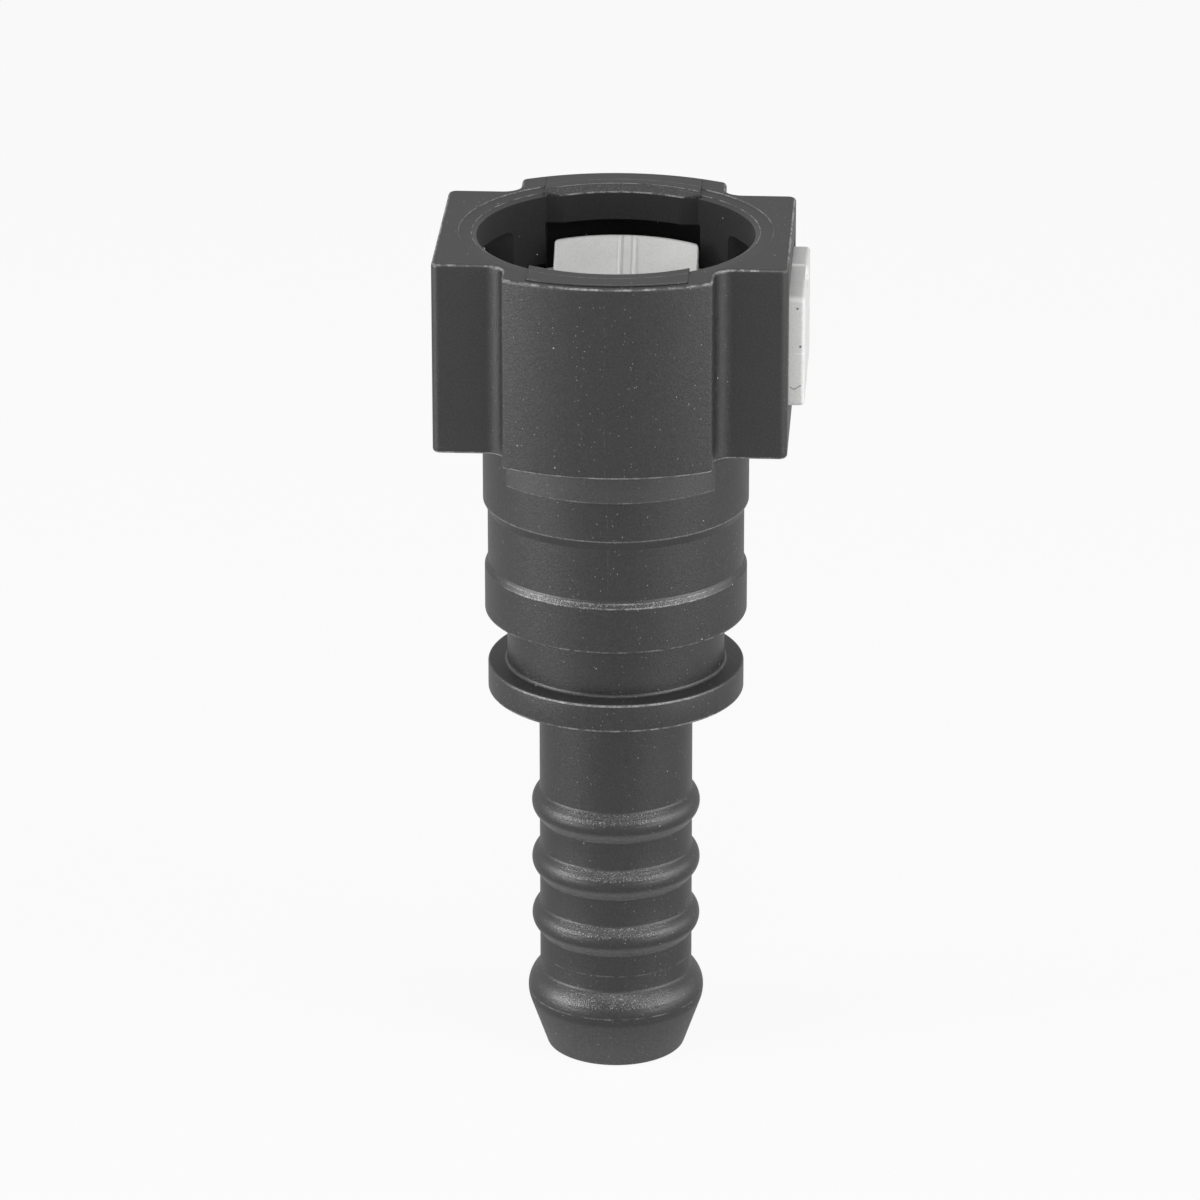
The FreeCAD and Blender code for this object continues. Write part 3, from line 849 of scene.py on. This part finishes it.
def wear_and_highlight_mask(g, breaks):
    """Broken light lines on bands, ribs, the head's rims, the mouth ring, the seam and the lips: wear and
    mould lines with painted edge highlights.
    """
    side_share = g.math("DIVIDE", g.math("ABSOLUTE", g.x), g.radius)
    masks = []
    for height, half, strength, share, least, fades in LIGHT_LINES:
        line = g.both(
            g.band(g.z, height - half, height + half, 0.02),
            g.ramp(g.radius, least - 0.05, least),
            g.ramp(breaks, 0.42, 0.60, share * strength, strength),
        )
        if fades:
            line = g.both(line, g.ramp(side_share, 0.62, 0.85, 1.0, 0.1))
        masks.append(line)
    for height in RIB_HEIGHTS:
        foot_z = height + RIB_FOOT_LINE
        masks.append(g.both(
            g.band(g.z, foot_z - 0.02, foot_z + 0.02, 0.03),
            g.ramp(breaks, 0.30, 0.60, 0.10, 0.22),
        ))
    inner_ring, outer_ring = MOUTH_RING_RADII
    past_ring = g.ramp(g.radius, outer_ring + 0.1, outer_ring + 0.2)
    masks.append(g.both(
        g.band(g.z, MOUTH_Z - 0.14, MOUTH_Z - 0.02, 0.02), g.band(g.rise, 0.50, 0.88, 0.08),
        past_ring, g.ramp(breaks, 0.44, 0.60, 0.10, 1.0),
    ))
    masks.append(g.both(
        g.band(g.z, HEAD_Z, HEAD_Z + HEAD_EDGE_ROUND, 0.02), g.band(g.rise, -0.85, -0.35, 0.08),
        past_ring, g.ramp(breaks, 0.40, 0.60, 0.35, 0.9),
    ))
    rings = g.any(
        g.both(
            g.band(g.radius, outer_ring - 0.01, outer_ring + 0.02, 0.02),
            g.ramp(breaks, 0.40, 0.60, 0.10, 0.7),
        ),
        g.both(
            g.band(g.radius, inner_ring - 0.04, inner_ring, 0.02),
            g.ramp(breaks, 0.42, 0.58, 0.0, 1.0),
        ),
    )
    masks.append(g.both(rings, g.ramp(g.z, MOUTH_Z - 0.13, MOUTH_Z - 0.11), g.ramp(g.rise, 0.3, 0.5)))
    masks.append(g.both(
        g.band(g.x, *SEAM_X, 0.02), g.ramp(g.z, WAIST_Z, WAIST_Z + 0.2),
        g.ramp(breaks, 0.45, 0.60, 0.0, 0.07),
    ))
    edge_z = LIP_TOP_Z - LIP_BEVEL_DEPTH
    masks.append(g.both(
        g.band(g.z, edge_z - 0.01, edge_z + 0.05, 0.02),
        g.ramp(g.radius, LIP_INNER_RADIUS + 0.06, LIP_INNER_RADIUS + 0.12, 1.0, 0.0),
        g.ramp(breaks, 0.42, 0.58, 0.1, 1.0),
    ))
    return g.any(*masks)


def frost_and_sheen_mask(g, cloud):
    """Ribs, nose and chamfer where they face the front or the back, and the lips' bevels: frosted faces,
    given painted sheen and glints.
    """
    side_x = g.math("ABSOLUTE", g.x)
    masks = []
    for height in RIB_HEIGHTS:
        masks.append(g.both(
            g.band(g.z, height + RIB_FROST[0], height + RIB_FROST[1], 0.12),
            g.ramp(g.away(g.z, height + RIB_PLAIN_LINE), 0.04, 0.08, 0.45, 1.0),
        ))
    masks.append(g.both(
        g.band(g.z, *NOSE_FROST, 0.15), g.ramp(g.radius, STEM_RADIUS + 0.03, STEM_RADIUS + 0.11),
        g.ramp(cloud, 0.38, 0.58, 0.25, 1.0),
    ))
    masks.append(g.both(
        g.band(g.z, LOWER_CHAMFER_Z, WAIST_Z - 0.14, 0.02),
        g.band(g.radius, WAIST_RADIUS - 0.08, LOWER_BAND_RADIUS + 0.04, 0.03),
    ))
    # Painted sheen is kept to where the faces turn to the front or the back.
    faces_on = g.ramp(g.math("DIVIDE", side_x, g.radius), 0.52, 0.80, 1.0, 0.0)
    bevel = g.both(
        g.band(g.z, LIP_TOP_Z - LIP_BEVEL_DEPTH - 0.02, LIP_TOP_Z - 0.01, 0.01),
        g.ramp(side_x, LIP_HALF_WIDTH - 0.04, LIP_HALF_WIDTH, 1.0, 0.0),
        g.ramp(g.radius, LIP_BEVEL_RADIUS - 0.02, LIP_BEVEL_RADIUS + 0.02, 1.0, 0.0),
        g.ramp(g.rise, 0.97, 0.99, 1.0, 0.0),
    )
    return g.any(g.both(g.any(*masks), faces_on), g.math("MULTIPLY", bevel, 0.4))


def body_plastic():
    """Satin black moulding: fine grain and dust, wear with painted edge highlights, frosted faces with
    painted sheen and glints, painted light on the pads and undersides, and a dull inside darkened by
    painted shade.
    """
    g = Graph("body_plastic")
    cloud = g.noise(0.7, 4.0, 0.6)
    grain = g.noise(8.0, 3.0, 0.7)
    glitter = g.noise(11.0, 1.0, 0.5)
    breaks = g.noise(1.6, 3.0, 0.65)
    chamber, inside, outside = inside_masks(g)
    wear_and_edge_highlights = g.both(wear_and_highlight_mask(g, breaks), outside, g.ramp(grain, 0.35, 0.60, 0.35, 1.0))
    frost_and_sheen = g.both(frost_and_sheen_mask(g, cloud), outside)
    painted_glints = g.both(frost_and_sheen, g.ramp(glitter, 0.56, 0.72))
    # Pads, lightened below as painted shading.
    pads = g.both(
        g.band(g.z, PAD_Z - 0.02, HEAD_Z + 0.05, 0.02),
        g.band(g.radius, UPPER_BAND_RADIUS + 0.06, PAD_RADIUS + 0.05, 0.03),
    )
    # Undersides below the collar, lightened below as painted light from the floor.
    under = g.both(
        g.ramp(g.rise, -0.60, -0.25, 1.0, 0.0),
        g.ramp(g.z, COLLAR_Z - 0.3, COLLAR_Z - 0.2, 1.0, 0.0), outside,
    )

    colour = g.mix(g.ramp(cloud, 0.35, 0.65), grey(0.009), grey(0.012))
    colour = g.mix(g.ramp(grain, 0.42, 0.66, 0.0, 0.8), colour, grey(0.030))
    # Painted lighter shading on the round pads, from how the light falls on them.
    colour = g.mix(g.both(pads, g.ramp(grain, 0.35, 0.65, 0.5, 1.0)), colour, grey(0.050))
    # Painted light from the floor on the undersides of the nose and ribs.
    colour = g.mix(g.both(under, g.ramp(grain, 0.35, 0.65, 0.5, 1.0)), colour, grey(0.160))
    # Painted sheen on the frosted faces, then painted glints in it.
    colour = g.mix(g.both(frost_and_sheen, g.ramp(grain, 0.35, 0.65, 0.4, 1.0)), colour, grey(0.034))
    colour = g.mix(painted_glints, colour, grey(0.26))
    # Painted edge highlights, with some wear, lighten the light lines and edge rounds.
    colour = g.mix(wear_and_edge_highlights, colour, grey(0.38))
    # Painted shade: all the inside is made darker.
    colour = g.mix(inside, colour, grey(0.003))
    colour = g.mix(g.both(g.specks(3.6, 0.034, 0.60), outside), colour, grey(0.45))
    colour = g.mix(g.specks(1.3, 0.050, 0.45), colour, grey(0.80))
    g.bump(g.math("ADD", grain, g.math("MULTIPLY", g.both(glitter, frost_and_sheen), 2.5)), 0.016)

    roughness = g.ramp(grain, 0.3, 0.7, 0.34, 0.44)
    roughness = g.math("SUBTRACT", roughness, g.math("MULTIPLY", g.any(frost_and_sheen, wear_and_edge_highlights), 0.12))
    duller = g.any(g.ramp(g.rise, 0.85, 0.95, 0.0, 0.18), g.math("MULTIPLY", chamber, 0.56))
    roughness = g.math("ADD", roughness, duller)
    return g.finish(colour, roughness, 0.75)


# Dirt on the button's front edge: spots (x, z, radius) and one curled hair
DIRT_SPOTS = ((10.32, 46.77, 0.050), (10.50, 44.55, 0.055))
HAIR_Z = 42.15
HAIR_WAVES = 8.5
BUTTON_LINE_Z = 44.10


def retainer_plastic():
    """White moulding with a fine grain, a mould line and a little dirt on the button, with painted
    highlights on the latch ridges and edges and painted shade beside the ridges.
    """
    g = Graph("retainer_plastic")
    cloud = g.noise(0.9, 3.0, 0.5)
    grain = g.noise(8.0, 3.0, 0.7)
    edge_y = BUTTON_HALF_WIDTH - 0.15
    front = g.both(g.ramp(g.x, 9.2, 9.3), g.ramp(g.y, -edge_y, 0.1 - edge_y, 1.0, 0.0))
    mould_line = g.both(
        front, g.band(g.z, BUTTON_LINE_Z, BUTTON_LINE_Z + 0.05, 0.03), g.ramp(g.x, 10.1, 10.3),
    )
    ramps = g.both(g.ramp(g.x, 4.6, 4.7, 1.0, 0.0), g.ramp(g.z, 43.4, 43.6))
    off_middle = g.away(g.x, LATCH_SHIFT)
    # Ridges and latch side edges, lightened below as painted highlights.
    ridges = g.both(ramps, g.any(
        g.band(off_middle, RIDGE_SHIFT - 0.065, RIDGE_SHIFT + 0.065, 0.03),
        g.band(off_middle, LATCH_HALF_WIDTH - 0.12, LATCH_HALF_WIDTH, 0.03),
    ))
    painted_ridge_shade = g.both(ramps, g.band(off_middle, 0.22, 0.28, 0.04))
    spots = []
    for x, z, size in DIRT_SPOTS:
        distance = g.length(g.math("SUBTRACT", g.x, x), g.math("SUBTRACT", g.z, z))
        spots.append(g.ramp(distance, size, size * 1.6, 1.0, 0.0))
    wave = g.math("MULTIPLY", g.math("SINE", g.math("MULTIPLY", g.x, HAIR_WAVES)), 0.10)
    off_hair = g.math("ABSOLUTE", g.math("SUBTRACT", g.math("SUBTRACT", g.z, HAIR_Z), wave))
    hair = g.both(g.ramp(off_hair, 0.015, 0.04, 1.0, 0.0), g.band(g.x, 9.95, 10.55, 0.03))
    dirt = g.both(front, g.any(*spots, hair), g.ramp(grain, 0.2, 0.5, 0.6, 0.9))

    colour = g.mix(g.ramp(cloud, 0.35, 0.65), (0.82, 0.82, 0.81), (0.86, 0.86, 0.85))
    colour = g.mix(g.ramp(grain, 0.45, 0.75, 0.0, 0.8), colour, (0.94, 0.94, 0.93))
    colour = g.mix(g.ramp(grain, 0.25, 0.45, 0.5, 0.0), colour, (0.74, 0.74, 0.73))
    # Painted shade beside the ridges.
    colour = g.mix(painted_ridge_shade, colour, (0.68, 0.68, 0.67))
    # The real mould line, and painted highlights on the ridges and the latches' side edges.
    colour = g.mix(g.any(mould_line, ridges), colour, (0.97, 0.97, 0.96))
    colour = g.mix(dirt, colour, grey(0.12))
    g.bump(grain, 0.014)
    g.shader.inputs["Subsurface Weight"].default_value = 0.15
    g.shader.inputs["Subsurface Radius"].default_value = (0.5 * MM, 0.5 * MM, 0.5 * MM)
    g.shader.inputs["Subsurface Scale"].default_value = 1.0
    return g.finish(colour, g.ramp(grain, 0.3, 0.7, 0.34, 0.44), 0.45)


def plain_plastic(name, dark, light, roughness, grain_size, specular):
    """Mottled plastic or rubber with a fine grain and some dust."""
    g = Graph(name)
    grain = g.noise(9.0, 3.0, 0.6)
    colour = g.mix(g.ramp(g.noise(0.8, 4.0, 0.6), 0.35, 0.65), dark, light)
    colour = g.mix(g.specks(1.5, 0.05, 0.3), colour, grey(0.5))
    g.bump(grain, grain_size)
    return g.finish(colour, g.ramp(grain, 0.3, 0.7, roughness - 0.05, roughness + 0.05), specular)


natural = plain_plastic("natural_plastic", (0.56, 0.53, 0.44), (0.64, 0.61, 0.52), 0.45, 0.004, 0.4)
rubber = plain_plastic("seal_rubber", (0.022, 0.020, 0.018), (0.034, 0.031, 0.028), 0.30, 0.002, 0.5)
for obj, material in (
    (body, body_plastic()), (retainer, retainer_plastic()), (bushing, natural), (spacer, natural),
    (seals[0], rubber), (seals[1], rubber),
):
    obj.data.materials.clear()
    obj.data.materials.append(material)


# Floor, world and lamps

FLOOR_REACH = 2500
LAMP_DISTANCE = 450
LAMP_SIZE = (200, 260)
LAMP_AIM = (0, 0, 28)
# Azimuth and elevation in degrees, and power in watts
LAMPS = (
    (-100, 5, 0.10), (-75, 5, 0.80), (-60, 5, 0.82), (-45, 5, 0.25),
    (45, 5, 0.28), (60, 5, 0.52), (75, 5, 0.46), (100, 5, 0.32),
    (-75, 40, 0.30), (50, 40, 0.24), (75, 40, 0.24), (0, 65, 0.44),
)


def seen_white(nodes, links, seen, in_gloss):
    """Share of plain white for camera and transmitted rays, another for glossy rays, else 0."""
    path = nodes.new("ShaderNodeLightPath")
    total = path.outputs["Is Camera Ray"]
    for name in ("Is Glossy Ray", "Is Transmission Ray"):
        both = nodes.new("ShaderNodeMath")
        both.operation = "MAXIMUM"
        links.new(total, both.inputs[0])
        links.new(path.outputs[name], both.inputs[1])
        total = both.outputs[0]
    share = nodes.new("ShaderNodeMapRange")
    share.inputs["To Min"].default_value = seen
    share.inputs["To Max"].default_value = in_gloss
    links.new(path.outputs["Is Glossy Ray"], share.inputs["Value"])
    product = nodes.new("ShaderNodeMath")
    product.operation = "MULTIPLY"
    links.new(total, product.inputs[0])
    links.new(share.outputs["Result"], product.inputs[1])
    return product.outputs[0]


def make_world():
    """White background for the camera and in reflections. It gives no diffuse light."""
    world = bpy.data.worlds.new("studio")
    world.use_nodes = True
    bpy.context.scene.world = world
    nodes, links = world.node_tree.nodes, world.node_tree.links
    nodes.clear()
    background = nodes.new("ShaderNodeBackground")
    background.inputs["Color"].default_value = (1, 1, 1, 1)
    links.new(seen_white(nodes, links, 1.0, 0.72), background.inputs["Strength"])
    links.new(background.outputs[0], nodes.new("ShaderNodeOutputWorld").inputs["Surface"])


def make_floor():
    """Plain pale floor, seen nearly white, that keeps the part's shadow."""
    paper = Graph("floor_paper")
    nodes, links = paper.nodes, paper.links
    paper.shader.inputs["Base Color"].default_value = (0.85, 0.85, 0.85, 1)
    paper.shader.inputs["Roughness"].default_value = 0.9
    glow = nodes.new("ShaderNodeEmission")
    glow.inputs["Strength"].default_value = 1.0
    blend = nodes.new("ShaderNodeMixShader")
    links.new(seen_white(nodes, links, 0.92, 0.12), blend.inputs[0])
    links.new(paper.shader.outputs[0], blend.inputs[1])
    links.new(glow.outputs[0], blend.inputs[2])
    links.new(blend.outputs[0], paper.output.inputs["Surface"])
    reach = FLOOR_REACH
    corners = [(-reach, -reach, 0), (reach, -reach, 0), (reach, reach, 0), (-reach, reach, 0)]
    floor = make_object("floor", corners, [[0, 1, 2, 3]])
    floor.data.materials.append(paper.material)
    return floor


def make_lamp(azimuth, elevation, power):
    """Soft box on a sphere round the part, turned towards it."""
    light = bpy.data.lights.new("box", "AREA")
    light.shape = "RECTANGLE"
    light.size, light.size_y = LAMP_SIZE[0] * MM, LAMP_SIZE[1] * MM
    light.energy = power
    obj = bpy.data.objects.new("box", light)
    bpy.context.scene.collection.objects.link(obj)
    a, e = math.radians(azimuth), math.radians(elevation)
    aside = Vector((math.sin(a) * math.cos(e), -math.cos(a) * math.cos(e), math.sin(e)))
    obj.location = (Vector(LAMP_AIM) + aside * LAMP_DISTANCE) * MM
    obj.rotation_euler = aside.to_track_quat("Z", "Y").to_euler()


make_world()
floor = make_floor()
for azimuth, elevation, power in LAMPS:
    make_lamp(azimuth, elevation, power)


# Camera, fitted to the photo

AZIMUTH = math.radians(3.361)
ELEVATION = math.radians(21.42)
ROLL = math.radians(-0.05)
DISTANCE = 400.0
LENS = 210.49
SENSOR_WIDTH = 36.0
AIM_Z = 27.44
AIM_SHIFT = 0.909

right = Vector((math.cos(AZIMUTH), math.sin(AZIMUTH), 0))
back = Vector((
    math.sin(AZIMUTH) * math.cos(ELEVATION),
    -math.cos(AZIMUTH) * math.cos(ELEVATION),
    math.sin(ELEVATION),
))
up = back.cross(right)
rolled_right = right * math.cos(ROLL) + up * math.sin(ROLL)
rolled_up = up * math.cos(ROLL) - right * math.sin(ROLL)
camera_data = bpy.data.cameras.new("camera")
camera_data.lens = LENS
camera_data.sensor_width = SENSOR_WIDTH
camera_data.clip_start = 0.01
camera_data.clip_end = 20.0
camera = bpy.data.objects.new("camera", camera_data)
bpy.context.scene.collection.objects.link(camera)
place = (Vector((0, 0, AIM_Z)) - right * AIM_SHIFT + back * DISTANCE) * MM
camera.matrix_world = Matrix((
    (rolled_right.x, rolled_up.x, back.x, place.x),
    (rolled_right.y, rolled_up.y, back.y, place.y),
    (rolled_right.z, rolled_up.z, back.z, place.z),
    (0, 0, 0, 1),
))
bpy.context.scene.camera = camera
bpy.context.scene.view_settings.view_transform = "Standard"
